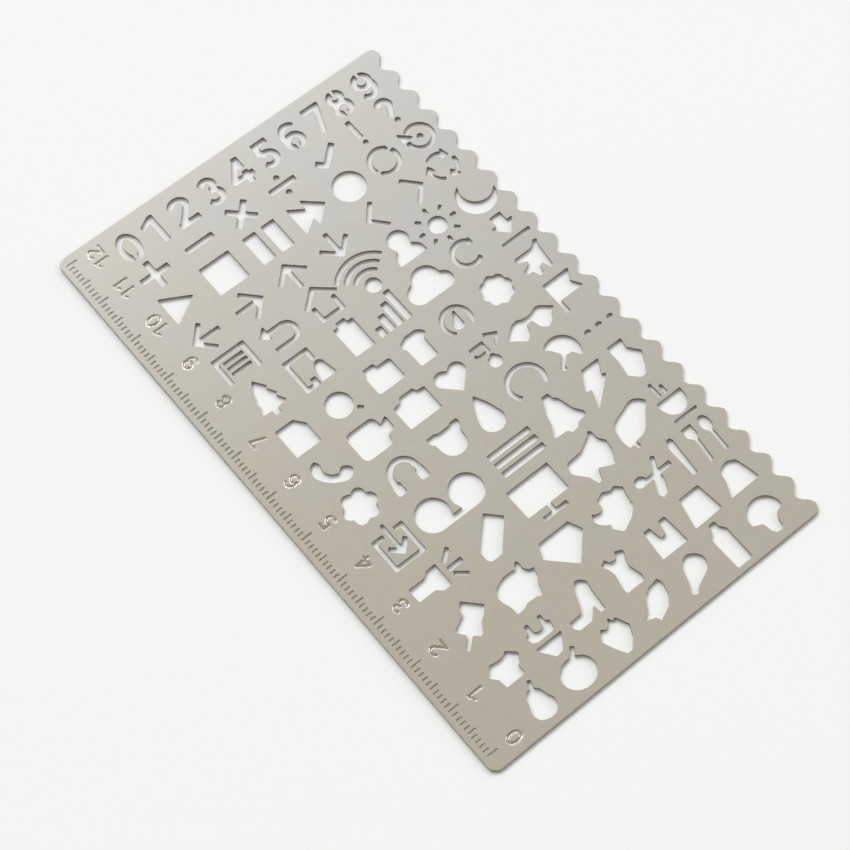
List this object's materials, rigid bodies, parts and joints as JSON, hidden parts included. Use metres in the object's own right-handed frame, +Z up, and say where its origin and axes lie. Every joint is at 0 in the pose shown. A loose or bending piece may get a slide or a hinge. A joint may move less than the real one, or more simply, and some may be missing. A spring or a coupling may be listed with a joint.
{
  "type": "geometric drawing template",
  "caption": "Thin metal drawing template with rows of cut-through symbols, a centimetre scale on its straight long edge and a wavy far edge.",
  "frame": {"origin": "centre of the sheet's outline, on the face that lies on the paper", "axes": "+X across the sheet from the straight ruled edge to the wavy edge, +Y along its length towards the twelve centimetre end, +Z up out of the face with the scale"},
  "size_m": [0.075, 0.125, 0.0005],
  "materials": {
    "steel": "satin, evenly etched on both faces, with darker cut walls"
  },
  "bodies": {
    "root": {"template_plate": "steel"}
  },
  "joints": []
}
